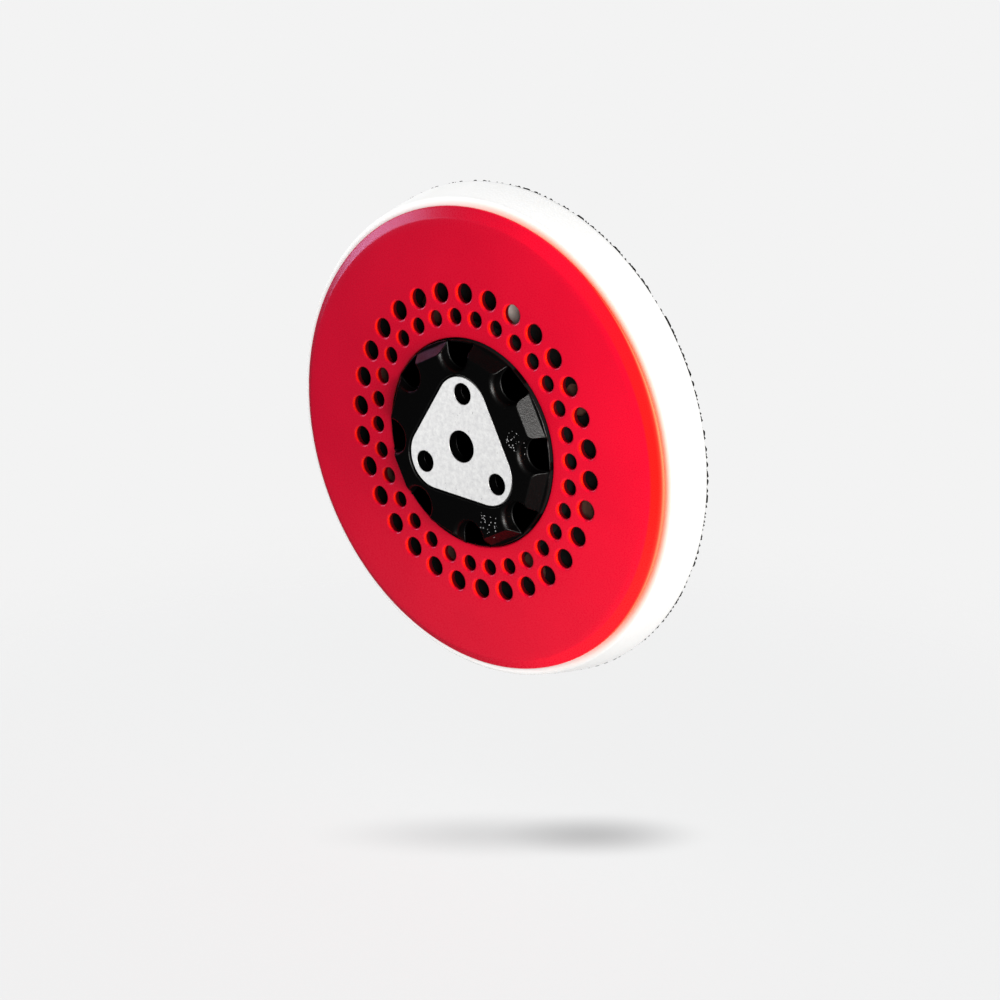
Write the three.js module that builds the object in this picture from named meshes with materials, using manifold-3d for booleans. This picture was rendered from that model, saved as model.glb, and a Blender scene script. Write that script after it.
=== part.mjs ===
// Backing plate of a forced-rotation dual action polisher: the disc that the tool's spindle
// drives and that a polishing pad sticks to. Millimetres, +Z up. The spin axis is Y. The face
// that the spindle meets is at y = 0 and looks towards -Y, and the hook face looks towards +Y.
import * as THREE from 'three';
import { mergeVertices } from 'three/addons/utils/BufferGeometryUtils.js';
import Module from 'manifold-3d';

const wasm = await Module();
wasm.setup();

// Overall size, and the gap that is left between pieces that are bonded or pressed together.
const PLATE_RADIUS = 70;
const FOAM_BACK = 21.1;
const FIT_GAP = 0.3;
const ROUND_STEPS = 60;

// Thickness of each flat layer. The hook sheet is its tape and its hooks together.
const HOOK_THICKNESS = 1.6;
const FILM_THICKNESS = 0.3;
const FOAM_CORE_THICKNESS = 10.2;
const AIR_DISC_THICKNESS = 1.2;
const HUB_FLANGE_THICKNESS = 1.6;

// The hook layers stack backwards, towards +Y, from the foam, and the others forwards from it.
const HOOK_FILM_FRONT = FOAM_BACK + FIT_GAP;
const HOOK_FRONT = HOOK_FILM_FRONT + FILM_THICKNESS + FIT_GAP;
const FOAM_CORE_FRONT = FOAM_BACK - FOAM_CORE_THICKNESS;
const FOAM_FILM_FRONT = FOAM_CORE_FRONT - FIT_GAP - FILM_THICKNESS;
const AIR_DISC_FRONT = FOAM_FILM_FRONT - FIT_GAP - AIR_DISC_THICKNESS;
const HUB_BACK = AIR_DISC_FRONT - FIT_GAP;
const HUB_FLANGE_FRONT = HUB_BACK - HUB_FLANGE_THICKNESS;
const HUB_FRONT = -0.4;

// Foam pad: it widens from the cover's rim to its back edge and cups the air disc.
const FOAM_FRONT_RADIUS = 68.3;
const FOAM_RIM_FRONT = 8.9;
const FOAM_EDGE_ROUND = 0.9;
const AIR_DISC_RADIUS = 62;
const HOOK_RADIUS = 69.7;
const FOAM_CUP_RADIUS = AIR_DISC_RADIUS + FIT_GAP;

// Middle hole in the back layers, for the head of the retaining bolt and its key.
const ACCESS_RADIUS = 11;

// Vented cover: a shallow crowned ring with a bevelled rim.
const COVER_WALL = 2.4;
const COVER_BORE = 29.7;
const COVER_BORE_FRONT = 4.2;
const COVER_CREST = 62.4;
const COVER_CREST_FRONT = 5.8;
const COVER_RIM_RADIUS = 65.7;
const COVER_RIM_FRONT = 8.2;
const COVER_FOOT = FOAM_RIM_FRONT - FIT_GAP;
const VENTS_PER_RING = 30;
const VENT_SIDES = 10;
const VENT_RINGS = [
  { radius: 42.3, holeRadius: 3.0, firstAngle: -1.8 },
  { radius: 35.6, holeRadius: 2.4, firstAngle: 4.2 },
];

// Hub: an eight-sided boss with a round pocket at each corner, inside a thin collar.
const HUB_SIDES = 8;
const POCKET_FIRST_ANGLE = 6.5;
const FACET_FIRST_ANGLE = POCKET_FIRST_ANGLE + 180 / HUB_SIDES;
const BOSS_FRONT_FLAT = 25.65;
const BOSS_BACK_FLAT = 28.9;
const BOSS_BACK = COVER_BORE_FRONT;
const COLLAR_RADIUS = 29.3;
const COLLAR_WALL = 0.8;
const COLLAR_FRONT = 3.9;
const FLANGE_RADIUS = 34;
const POCKET_RING_RADIUS = 26.2;
const POCKET_RADIUS = 4.9;
const POCKET_LEDGE = 0.6;
const POCKET_FLOOR = 6.5;

// Eight openings in the air disc, behind the vents.
const AIR_OPENING_RING_RADIUS = 38.5;
const AIR_OPENING_RADIUS = 4.6;

// Drive plate: a rounded triangle with a bolt hole and three pin holes.
const PLATE_CORNERS = 3;
const PLATE_FIRST_CORNER = 88.5;
const PLATE_CORNER_RING = 11.05;
const PLATE_CORNER_ROUND = 9.1;
const DRIVE_PLATE_THICKNESS = 3;
const BOLT_HOLE_RADIUS = 4.5;
const PIN_RING_RADIUS = 15.3;
const PIN_HOLE_RADIUS = 3;
const SEAT_GAP = 0.5;
const SEAT_FLOOR = DRIVE_PLATE_THICKNESS + FIT_GAP;
const PIN_WELL_FLOOR = 7.1;

// Steel washer in the back of the hub, under the bolt head.
const WASHER_THICKNESS = 1.5;
const WASHER_RADIUS = ACCESS_RADIUS - FIT_GAP;
const WASHER_RECESS_FLOOR = 5.2;
const WASHER_FRONT = WASHER_RECESS_FLOOR + FIT_GAP;

// Cutters reach this far past the face that they open.
const OVERCUT = 1;

const radians = (degrees) => THREE.MathUtils.degToRad(degrees);

// Point at an angle from +X towards +Z, in the plane across the spin axis.
function onRing(radius, degrees) {
  return { x: radius * Math.cos(radians(degrees)), z: radius * Math.sin(radians(degrees)) };
}

function toSolid(geometry) {
  const bare = geometry.clone();
  bare.deleteAttribute('normal');
  bare.deleteAttribute('uv');
  const merged = mergeVertices(bare);
  return new wasm.Manifold(new wasm.Mesh({
    numProp: 3,
    vertProperties: new Float32Array(merged.attributes.position.array),
    triVerts: new Uint32Array(merged.index.array),
  }));
}

function toGeometry(solid) {
  const mesh = solid.getMesh();
  const geometry = new THREE.BufferGeometry();
  geometry.setAttribute('position', new THREE.BufferAttribute(mesh.vertProperties, 3));
  geometry.setIndex(new THREE.BufferAttribute(mesh.triVerts, 1));
  geometry.computeVertexNormals();
  return geometry;
}

// Turns a closed outline of [radius, y] points, given counter-clockwise, about the spin axis.
function revolve(outline, steps = ROUND_STEPS) {
  const points = [...outline, outline[0]].map(([radius, y]) => new THREE.Vector2(radius, y));
  return new THREE.LatheGeometry(points, steps);
}

function ring(innerRadius, outerRadius, front, back) {
  return revolve([[innerRadius, front], [outerRadius, front], [outerRadius, back], [innerRadius, back]]);
}

// Cylinder along the spin axis, between two y positions, standing on a point of a ring.
function rod(radius, front, back, centre = { x: 0, z: 0 }, sides = 24) {
  const geometry = new THREE.CylinderGeometry(radius, radius, back - front, sides);
  geometry.translate(centre.x, (front + back) / 2, centre.z);
  return geometry;
}

// Extrudes an outline drawn in X and Z between two y positions.
function prism(shape, front, back, curveSegments = 10) {
  const geometry = new THREE.ExtrudeGeometry(shape, {
    depth: back - front,
    bevelEnabled: false,
    curveSegments,
  });
  geometry.rotateX(Math.PI / 2);
  geometry.translate(0, back, 0);
  return geometry;
}

// Rounded triangle, grown outwards by an offset.
function triangleOutline(offset) {
  const shape = new THREE.Shape();
  for (let corner = 0; corner < PLATE_CORNERS; corner += 1) {
    const angle = PLATE_FIRST_CORNER + (corner * 360) / PLATE_CORNERS;
    const centre = onRing(PLATE_CORNER_RING, angle);
    const sweep = 180 / PLATE_CORNERS;
    shape.absarc(
      centre.x,
      centre.z,
      PLATE_CORNER_ROUND + offset,
      radians(angle - sweep),
      radians(angle + sweep),
      false,
    );
  }
  shape.closePath();
  return shape;
}

function pinCentres() {
  return Array.from({ length: PLATE_CORNERS }, (_, pin) => (
    onRing(PIN_RING_RADIUS, PLATE_FIRST_CORNER + (pin * 360) / PLATE_CORNERS)
  ));
}

// Outline of a pocket: round towards the axis, with straight sides that run outwards.
function pocketOutline(angle, halfWidth) {
  const shape = new THREE.Shape();
  const centre = onRing(POCKET_RING_RADIUS, angle);
  const mouth = onRing(FLANGE_RADIUS, angle);
  const side = onRing(halfWidth, angle + 90);
  shape.moveTo(mouth.x + side.x, mouth.z + side.z);
  shape.absarc(centre.x, centre.z, halfWidth, radians(angle + 90), radians(angle + 270), false);
  shape.lineTo(mouth.x - side.x, mouth.z - side.z);
  shape.closePath();
  return shape;
}

function drivePlate() {
  let plate = toSolid(prism(triangleOutline(0), 0, DRIVE_PLATE_THICKNESS));
  plate = plate.subtract(toSolid(rod(BOLT_HOLE_RADIUS, -OVERCUT, DRIVE_PLATE_THICKNESS + OVERCUT)));
  for (const centre of pinCentres()) {
    const hole = rod(PIN_HOLE_RADIUS, -OVERCUT, DRIVE_PLATE_THICKNESS + OVERCUT, centre);
    plate = plate.subtract(toSolid(hole));
  }
  return toGeometry(plate);
}

function hubBoss() {
  const cornerScale = 1 / Math.cos(Math.PI / HUB_SIDES);
  const height = BOSS_BACK - HUB_FRONT;
  const boss = new THREE.CylinderGeometry(
    BOSS_BACK_FLAT * cornerScale,
    BOSS_FRONT_FLAT * cornerScale,
    height,
    HUB_SIDES,
  );
  boss.rotateY(-radians(POCKET_FIRST_ANGLE));
  boss.translate(0, HUB_FRONT + height / 2, 0);
  const drum = rod(COLLAR_RADIUS, HUB_FRONT - OVERCUT, BOSS_BACK + OVERCUT, undefined, ROUND_STEPS);
  return toSolid(boss).intersect(toSolid(drum));
}

function hub() {
  const base = revolve([
    [0, COLLAR_FRONT],
    [COLLAR_RADIUS, COLLAR_FRONT],
    [COLLAR_RADIUS, HUB_FLANGE_FRONT],
    [FLANGE_RADIUS, HUB_FLANGE_FRONT],
    [FLANGE_RADIUS, HUB_BACK],
    [0, HUB_BACK],
  ]);
  let body = hubBoss().add(toSolid(base));
  const insideCollar = toSolid(
    rod(COLLAR_RADIUS - COLLAR_WALL, HUB_FRONT - OVERCUT, HUB_BACK, undefined, ROUND_STEPS),
  );
  for (let pocket = 0; pocket < HUB_SIDES; pocket += 1) {
    const angle = POCKET_FIRST_ANGLE + (pocket * 360) / HUB_SIDES;
    const mouth = prism(pocketOutline(angle, POCKET_RADIUS), HUB_FRONT - OVERCUT, COLLAR_FRONT, 6);
    const well = prism(
      pocketOutline(angle, POCKET_RADIUS - POCKET_LEDGE),
      HUB_FRONT - OVERCUT,
      POCKET_FLOOR,
      6,
    );
    body = body.subtract(toSolid(mouth));
    body = body.subtract(toSolid(well).intersect(insideCollar));
  }
  body = body.subtract(toSolid(prism(triangleOutline(SEAT_GAP), HUB_FRONT - OVERCUT, SEAT_FLOOR)));
  const boltBore = rod(BOLT_HOLE_RADIUS + FIT_GAP, HUB_FRONT, HUB_BACK + OVERCUT);
  body = body.subtract(toSolid(boltBore));
  const recess = rod(ACCESS_RADIUS, WASHER_RECESS_FLOOR, HUB_BACK + OVERCUT, undefined, 48);
  body = body.subtract(toSolid(recess));
  for (const centre of pinCentres()) {
    const well = rod(PIN_HOLE_RADIUS + FIT_GAP, HUB_FRONT, PIN_WELL_FLOOR, centre);
    body = body.subtract(toSolid(well));
  }
  return toGeometry(body);
}

function ventedCover() {
  const crown = new THREE.QuadraticBezierCurve(
    new THREE.Vector2(COVER_BORE, COVER_BORE_FRONT),
    new THREE.Vector2((COVER_BORE + COVER_CREST) / 2, COVER_BORE_FRONT + 0.25),
    new THREE.Vector2(COVER_CREST, COVER_CREST_FRONT),
  );
  const front = crown.getPoints(5).map((point) => [point.x, point.y]);
  const inside = front
    .map(([radius, y]) => [radius, Math.min(y + COVER_WALL, COVER_FOOT)])
    .reverse();
  const body = revolve([
    ...front,
    [COVER_RIM_RADIUS - 0.35, COVER_RIM_FRONT - 0.3],
    [COVER_RIM_RADIUS, COVER_RIM_FRONT],
    [COVER_RIM_RADIUS, COVER_FOOT],
    [COVER_CREST + 0.4, COVER_FOOT],
    ...inside,
  ]);
  let cover = toSolid(body);
  for (const vents of VENT_RINGS) {
    for (let vent = 0; vent < VENTS_PER_RING; vent += 1) {
      const centre = onRing(vents.radius, vents.firstAngle + (vent * 360) / VENTS_PER_RING);
      const hole = rod(
        vents.holeRadius,
        COVER_BORE_FRONT - OVERCUT,
        COVER_FOOT + OVERCUT,
        centre,
        VENT_SIDES,
      );
      cover = cover.subtract(toSolid(hole));
    }
  }
  return toGeometry(cover);
}

function airDisc() {
  let disc = toSolid(ring(ACCESS_RADIUS, AIR_DISC_RADIUS, 0, AIR_DISC_THICKNESS));
  for (let opening = 0; opening < HUB_SIDES; opening += 1) {
    const centre = onRing(AIR_OPENING_RING_RADIUS, FACET_FIRST_ANGLE + (opening * 360) / HUB_SIDES);
    const hole = rod(AIR_OPENING_RADIUS, -OVERCUT, AIR_DISC_THICKNESS + OVERCUT, centre, 20);
    disc = disc.subtract(toSolid(hole));
  }
  return toGeometry(disc);
}

function foamPad() {
  const round = FOAM_EDGE_ROUND;
  return revolve([
    [ACCESS_RADIUS, FOAM_CORE_FRONT],
    [FOAM_CUP_RADIUS, FOAM_CORE_FRONT],
    [FOAM_CUP_RADIUS, FOAM_RIM_FRONT],
    [FOAM_FRONT_RADIUS - round, FOAM_RIM_FRONT],
    [FOAM_FRONT_RADIUS - round * 0.3, FOAM_RIM_FRONT + round * 0.3],
    [FOAM_FRONT_RADIUS + round * 0.2, FOAM_RIM_FRONT + round],
    [PLATE_RADIUS, FOAM_BACK],
    [ACCESS_RADIUS, FOAM_BACK],
  ]);
}

// Each piece: its shape, the y position that it is placed at, and its material.
const pieces = [
  {
    name: 'drive_plate',
    geometry: drivePlate(),
    y: 0,
    material: { color: 0xd9dadb, roughness: 0.5, metalness: 0.9 },
  },
  {
    name: 'hub',
    geometry: hub(),
    y: 0,
    material: { color: 0x141414, roughness: 0.45, metalness: 0 },
  },
  {
    name: 'bolt_seat_washer',
    geometry: ring(BOLT_HOLE_RADIUS, WASHER_RADIUS, 0, WASHER_THICKNESS),
    y: WASHER_FRONT,
    material: { color: 0xb9bbbd, roughness: 0.35, metalness: 1 },
  },
  {
    name: 'vented_cover',
    geometry: ventedCover(),
    y: 0,
    material: { color: 0xd8122e, roughness: 0.5, metalness: 0 },
  },
  {
    name: 'air_disc',
    geometry: airDisc(),
    y: AIR_DISC_FRONT,
    material: { color: 0x121212, roughness: 0.6, metalness: 0 },
  },
  {
    name: 'foam_bonding_film',
    geometry: ring(ACCESS_RADIUS, AIR_DISC_RADIUS, 0, FILM_THICKNESS),
    y: FOAM_FILM_FRONT,
    material: { color: 0xe4ddc4, roughness: 0.4, metalness: 0 },
  },
  {
    name: 'foam_pad',
    geometry: foamPad(),
    y: 0,
    material: { color: 0xf4f4f2, roughness: 0.85, metalness: 0 },
  },
  {
    name: 'hook_bonding_film',
    geometry: ring(ACCESS_RADIUS, HOOK_RADIUS, 0, FILM_THICKNESS),
    y: HOOK_FILM_FRONT,
    material: { color: 0xe4ddc4, roughness: 0.4, metalness: 0 },
  },
  {
    name: 'hook_sheet',
    geometry: ring(ACCESS_RADIUS, HOOK_RADIUS, 0, HOOK_THICKNESS),
    y: HOOK_FRONT,
    material: { color: 0x101010, roughness: 0.8, metalness: 0 },
  },
];

const backingPlate = new THREE.Group();
for (const { name, geometry, y, material } of pieces) {
  const mesh = new THREE.Mesh(geometry, new THREE.MeshStandardMaterial(material));
  mesh.name = name;
  mesh.position.y = y;
  backingPlate.add(mesh);
}

export default backingPlate;
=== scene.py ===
"""Backing plate of a forced-rotation dual action polisher, floating above a pale studio floor."""

import functools
import math
import random

import bmesh
import bpy
import numpy as np
from mathutils import Matrix, Vector


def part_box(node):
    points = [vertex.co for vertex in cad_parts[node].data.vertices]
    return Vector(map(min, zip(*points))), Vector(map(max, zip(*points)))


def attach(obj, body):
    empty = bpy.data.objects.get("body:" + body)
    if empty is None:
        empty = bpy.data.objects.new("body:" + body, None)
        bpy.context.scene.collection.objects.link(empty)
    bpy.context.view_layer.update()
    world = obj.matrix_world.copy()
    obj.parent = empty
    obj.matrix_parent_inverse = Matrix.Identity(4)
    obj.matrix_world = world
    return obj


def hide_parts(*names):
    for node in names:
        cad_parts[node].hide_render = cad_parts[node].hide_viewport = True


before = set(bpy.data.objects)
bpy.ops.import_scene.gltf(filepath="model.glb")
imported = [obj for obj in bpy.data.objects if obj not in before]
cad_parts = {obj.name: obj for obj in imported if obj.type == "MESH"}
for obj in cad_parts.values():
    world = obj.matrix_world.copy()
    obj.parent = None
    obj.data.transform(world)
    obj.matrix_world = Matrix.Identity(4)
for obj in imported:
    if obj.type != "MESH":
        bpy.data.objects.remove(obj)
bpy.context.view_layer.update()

# ---------------------------------------------------------------------------------------------
# Sizes. Scenes are in metres; lengths below are written in millimetres and turned by MM.
# ---------------------------------------------------------------------------------------------

MM = 0.001
SPIN_AXIS = Vector((0, 1, 0))

PLATE_LOW, PLATE_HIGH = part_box("drive_plate")
HUB_LOW, HUB_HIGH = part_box("hub")
WASHER_LOW, WASHER_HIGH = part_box("bolt_seat_washer")
COVER_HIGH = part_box("vented_cover")[1]
DISC_LOW, DISC_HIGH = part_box("air_disc")
FOAM_FILM_LOW, FOAM_FILM_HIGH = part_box("foam_bonding_film")
FOAM_LOW, FOAM_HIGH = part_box("foam_pad")
HOOK_FILM_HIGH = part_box("hook_bonding_film")[1]
HOOK_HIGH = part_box("hook_sheet")[1]

ACCESS_RADIUS = 11 * MM
ROUND_STEPS = 240
PLAIN_STEPS = 144
HOLE_STEPS = 96

# Vented cover.
COVER_WALL = 2.4 * MM
COVER_BORE = 29.7 * MM
COVER_BORE_FRONT = 4.2 * MM
COVER_BORE_LAND = 31.2 * MM
COVER_CREST = 62.4 * MM
COVER_CREST_FRONT = 5.8 * MM
COVER_CROWN_LIFT = 0.25 * MM
COVER_RIM_RADIUS = COVER_HIGH.x
COVER_FOOT = COVER_HIGH.y
COVER_EDGE_ROUND = 0.5 * MM
VENTS_PER_RING = 30
VENT_EDGE_ROUND = 0.65 * MM
VENT_BACK_FLARE = 0.55 * MM
VENT_PATCH_STEPS = 8
# Width of the painted highlight at the lip of the rim on the side towards +X.
LIT_LIP_WIDTH = 1.3 * MM
INNER_VENTS = {
    "radius": 35.6 * MM, "hole": 2.25 * MM, "angle": 4.2, "from": 32.6 * MM, "to": 38.7 * MM,
}
OUTER_VENTS = {
    "radius": 42.3 * MM, "hole": 2.75 * MM, "angle": -1.8, "from": 38.7 * MM, "to": 46.4 * MM,
}

# Hub.
HUB_SIDES = 8
POCKET_ANGLE = 6.5
FACET_ANGLE = POCKET_ANGLE + 180 / HUB_SIDES
BOSS_FRONT_FLAT = 25.65 * MM
BOSS_BACK_FLAT = 28.9 * MM
BOSS_TRIM_BACK = 5 * MM
HUB_CORE = 0.5 * MM
COLLAR_RADIUS = 29.3 * MM
COLLAR_WALL = 0.8 * MM
COLLAR_FRONT = 3.4 * MM
FLANGE_FRONT = 6.9 * MM
POCKET_RING = 26.2 * MM
POCKET_RADIUS = 4.9 * MM
POCKET_LEDGE = 0.6 * MM
POCKET_EDGE_ROUND = 1.4 * MM
POCKET_FLOOR = 6.5 * MM
HUB_EDGE_ROUND = 0.32 * MM

# Drive plate and its seat.
PLATE_CORNERS = 3
PLATE_ANGLE = 88.5
PLATE_CORNER_RING = 11.05 * MM
PLATE_CORNER_ROUND = 9.1 * MM
BOLT_HOLE = 4.5 * MM
PIN_RING = 15.3 * MM
PIN_HOLE = 3.0 * MM
SEAT_GAP = 0.5 * MM
SEAT_FLOOR = 3.3 * MM
PIN_WELL_FLOOR = 7.1 * MM
WASHER_RECESS_FLOOR = 5.2 * MM
FIT_GAP = 0.3 * MM

# How far cutters run past what they cut, and how far off a hole's wall a corner may be.
PAST = 1 * MM
ON_WALL = 0.06 * MM

# Air disc.
AIR_OPENING_RING = 38.5 * MM
AIR_OPENING_RADIUS = 4.6 * MM
AIR_OPENING_STEPS = 48

# Foam pad.
FOAM_SHOULDER = 68.0 * MM
FOAM_SHOULDER_ROUND = 1.5 * MM
FOAM_BACK_ROUND = 0.25 * MM
FOAM_BULGE = 0.15 * MM
FOAM_SEAM = 40 * MM
FOAM_CUP_RADIUS = DISC_HIGH.x + FIT_GAP
# How far the painted red glow reaches onto the foam from the cover's rim.
GLOW_REACH = 2.8 * MM

# Hook sheet.
TAPE_RADIUS = 69.85 * MM
TAPE_FRONT = FOAM_HIGH.y + 0.15 * MM
TAPE_BACK = FOAM_HIGH.y + 0.65 * MM
TAPE_RAG = 0.50 * MM
TAPE_STEPS = 900
TAPE_OFF_CENTRE = Vector((-0.2 * MM, 0, -0.1 * MM))
HOOK_MARGIN = 1.4 * MM
HOOK_PITCH = 1.42 * MM
HOOK_WIRE = 0.11 * MM


# ---------------------------------------------------------------------------------------------
# Mesh helpers
# ---------------------------------------------------------------------------------------------

def on_ring(radius, degrees, y=0.0):
    """Point at an angle from +X towards +Z, in a plane across the spin axis."""
    angle = math.radians(degrees)
    return Vector((radius * math.cos(angle), y, radius * math.sin(angle)))


def object_from(bm, name):
    mesh = bpy.data.meshes.new(name)
    bm.to_mesh(mesh)
    bm.free()
    made = bpy.data.objects.new(name, mesh)
    bpy.context.scene.collection.objects.link(made)
    return made


def piece_from(bm, name, material, smooth_below=35):
    """Makes a piece of a finished bmesh, smooth except at edges sharper than an angle."""
    piece = object_from(bm, name)
    piece.data.shade_smooth()
    piece.data.set_sharp_from_angle(angle=math.radians(smooth_below))
    piece.data.materials.append(material)
    return piece


def close_up(bm, distance=1e-7):
    """Merges doubled corners and points all faces outwards."""
    bmesh.ops.remove_doubles(bm, verts=bm.verts, dist=distance)
    bmesh.ops.recalc_face_normals(bm, faces=bm.faces)


def spin_profile(bm, points, steps=ROUND_STEPS, start=0.0, closed=True):
    """Spins an outline of (radius, y) points about the spin axis, from a start angle in degrees."""
    verts = [bm.verts.new(on_ring(radius, start, y)) for radius, y in points]
    edges = [bm.edges.new(pair) for pair in zip(verts, verts[1:])]
    if closed:
        edges.append(bm.edges.new((verts[-1], verts[0])))
    bmesh.ops.spin(
        bm, geom=verts + edges, cent=(0, 0, 0), axis=SPIN_AXIS, angle=2 * math.pi, steps=steps,
        use_merge=True,
    )


def arc(centre, radius, first, last, steps=5):
    """Points of a round corner in an outline, between two angles in degrees."""
    points = []
    for step in range(steps + 1):
        angle = math.radians(first + (last - first) * step / steps)
        points.append((centre[0] + radius * math.cos(angle), centre[1] + radius * math.sin(angle)))
    return points


def ring_piece(name, inner, outer, front, back, edge, material):
    """A flat ring with small rounded corners."""
    bm = bmesh.new()
    outline = (
        arc((outer - edge, front + edge), edge, -90, 0, 3)
        + arc((outer - edge, back - edge), edge, 0, 90, 3)
        + arc((inner + edge, back - edge), edge, 90, 180, 3)
        + arc((inner + edge, front + edge), edge, 180, 270, 3)
    )
    spin_profile(bm, outline)
    close_up(bm)
    return piece_from(bm, name, material)


def loft(bm, loops):
    """Skin through closed loops that have the same number of points."""
    rings = [[bm.verts.new(point) for point in loop] for loop in loops]
    for upper, lower in zip(rings, rings[1:]):
        for index, vert in enumerate(upper):
            after = (index + 1) % len(upper)
            bm.faces.new((vert, upper[after], lower[after], lower[index]))
    return rings


def at_depth(points, y):
    return [Vector((point.x, y, point.z)) for point in points]


def solid(loops):
    """Closed solid through loops, with a flat face at each end."""
    bm = bmesh.new()
    rings = loft(bm, loops)
    bm.faces.new(rings[0])
    bm.faces.new(list(reversed(rings[-1])))
    close_up(bm)
    return bm


def prism(points, front, back):
    """Closed prism from an outline in X and Z, between two y positions."""
    return solid([at_depth(points, front), at_depth(points, back)])


def rod(radius, front, back, centre=Vector((0, 0, 0)), steps=64):
    points = [centre + on_ring(radius, 360 * step / steps) for step in range(steps)]
    return prism(points, front, back)


def triangle_outline(offset=0.0, steps=20):
    """Rounded triangle of the drive plate, grown outwards by an offset."""
    points = []
    for corner in range(PLATE_CORNERS):
        angle = PLATE_ANGLE + corner * 360 / PLATE_CORNERS
        centre = on_ring(PLATE_CORNER_RING, angle)
        for step in range(steps + 1):
            turn = angle - 60 + 120 * step / steps
            points.append(centre + on_ring(PLATE_CORNER_ROUND + offset, turn))
    return points


def pocket_cutter(angle, front):
    """Pocket down to the collar, opening out in a soft round edge at the boss's face."""
    loops = [at_depth(pocket_outline(angle, POCKET_RADIUS + POCKET_EDGE_ROUND), front)]
    for step in range(9):
        turn = math.radians(90 * step / 8)
        half_width = POCKET_RADIUS + POCKET_EDGE_ROUND * (1 - math.sin(turn))
        depth = HUB_LOW.y + POCKET_EDGE_ROUND * (1 - math.cos(turn))
        loops.append(at_depth(pocket_outline(angle, half_width), depth))
    loops.append(at_depth(pocket_outline(angle, POCKET_RADIUS), COLLAR_FRONT))
    return solid(loops)


def pocket_outline(angle, half_width, steps=24):
    """Pocket that is round towards the axis and runs straight outwards."""
    centre = on_ring(POCKET_RING, angle)
    side = on_ring(half_width, angle + 90)
    mouth = on_ring(HUB_HIGH.x, angle)
    points = [mouth + side]
    for step in range(steps + 1):
        points.append(centre + on_ring(half_width, angle + 90 + 180 * step / steps))
    points.append(mouth - side)
    return points


def pin_centres():
    turn = 360 / PLATE_CORNERS
    return [on_ring(PIN_RING, PLATE_ANGLE + pin * turn) for pin in range(PLATE_CORNERS)]


def combine(base, tools, operation):
    """Cuts or joins closed shapes with a base shape, and gives the result as a new bmesh."""
    body = object_from(base, "scratch_body")
    others = []
    for number, tool in enumerate(tools):
        other = object_from(tool, f"scratch_tool_{number}")
        modifier = body.modifiers.new(f"combine_{number}", "BOOLEAN")
        modifier.operation = operation
        modifier.solver = "MANIFOLD"
        modifier.object = other
        others.append(other)
    bpy.context.view_layer.update()
    graph = bpy.context.evaluated_depsgraph_get()
    result = bmesh.new()
    result.from_mesh(body.evaluated_get(graph).to_mesh())
    for scratch in [body, *others]:
        mesh = scratch.data
        bpy.data.objects.remove(scratch)
        bpy.data.meshes.remove(mesh)
    return result


def round_edges(bm, width, sharper_than=25, segments=3, only=lambda edge: True):
    """Merges flat neighbours, then rounds every edge sharper than an angle."""
    bmesh.ops.remove_doubles(bm, verts=bm.verts, dist=2e-6)
    bmesh.ops.dissolve_limit(
        bm, angle_limit=math.radians(0.5), verts=bm.verts, edges=bm.edges, delimit=set(),
        use_dissolve_boundaries=False,
    )
    limit = math.radians(sharper_than)
    edges = [
        edge for edge in bm.edges
        if len(edge.link_faces) == 2 and edge.calc_face_angle(0) > limit and only(edge)
    ]
    bmesh.ops.bevel(
        bm, geom=edges, offset=width, offset_type="OFFSET", segments=segments, profile=0.5,
        affect="EDGES", clamp_overlap=False, material=-1,
    )
    bmesh.ops.recalc_face_normals(bm, faces=bm.faces)


def mark(piece, name, marks, where="FACE"):
    """Writes one number per face or point, which a material reads by name."""
    piece.data.attributes.new(name, "FLOAT", where).data.foreach_set("value", marks)


def lies_in_bore(face, centre, radius):
    """1 if all corners of a face are on the wall of a round hole, and 0 if not."""
    reach = max(math.hypot(vert.co.x - centre.x, vert.co.z - centre.z) for vert in face.verts)
    return 1.0 if reach < radius + ON_WALL else 0.0


def even_shading(piece):
    """Keeps large flat faces looking flat beside their rounded edges."""
    modifier = piece.modifiers.new("even_shading", "WEIGHTED_NORMAL")
    modifier.keep_sharp = True
    modifier.weight = 100


# ---------------------------------------------------------------------------------------------
# Material helpers
# ---------------------------------------------------------------------------------------------

SMOOTH = {"interpolation_type": "SMOOTHSTEP"}
OF_COLOURS = {"data_type": "RGBA"}
MIXED_COLOUR = 2
NEAREST = {"feature": "F1"}
TIMES = {"operation": "MULTIPLY"}
PLUS = {"operation": "ADD"}
LESS = {"operation": "LESS_THAN"}
LARGER = {"operation": "MAXIMUM"}


def linear(colour):
    """sRGB hex to linear RGBA."""
    channels = []
    for start in (1, 3, 5):
        value = int(colour[start:start + 2], 16) / 255
        channels.append(value / 12.92 if value <= 0.04045 else ((value + 0.055) / 1.055) ** 2.4)
    return (*channels, 1.0)


def set_inputs(node, **values):
    """Links a socket to each input, or sets it to a plain value. An input goes by its name, with _
    for a space, or by its number after the word input."""
    for name, value in values.items():
        socket = node.inputs[int(name[5:]) if name.startswith("input") else name.replace("_", " ")]
        if isinstance(value, bpy.types.NodeSocket):
            node.id_data.links.new(value, socket)
        else:
            socket.default_value = value


def add_node(owner, kind, gives, settings=None, **values):
    """Adds a node and gives one of its outputs. A colour ramp's steps are (position, sRGB hex)."""
    node = owner.node_tree.nodes.new("ShaderNode" + kind)
    for name, value in (settings or {}).items():
        if name != "steps":
            setattr(node, name, value)
            continue
        marks = node.color_ramp.elements
        while len(marks) < len(value):
            marks.new(1.0)
        for mark, (position, colour) in zip(marks, value):
            mark.position = position
            mark.color = linear(colour)
    set_inputs(node, **values)
    return node.outputs[gives]


def new_material(name):
    """A material, the function that adds nodes to it, its shader, and the object's coordinates."""
    material = bpy.data.materials.new(name)
    material.use_nodes = True
    add = functools.partial(add_node, material)
    return material, add, material.node_tree.nodes["Principled BSDF"], add("TexCoord", "Object")


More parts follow.
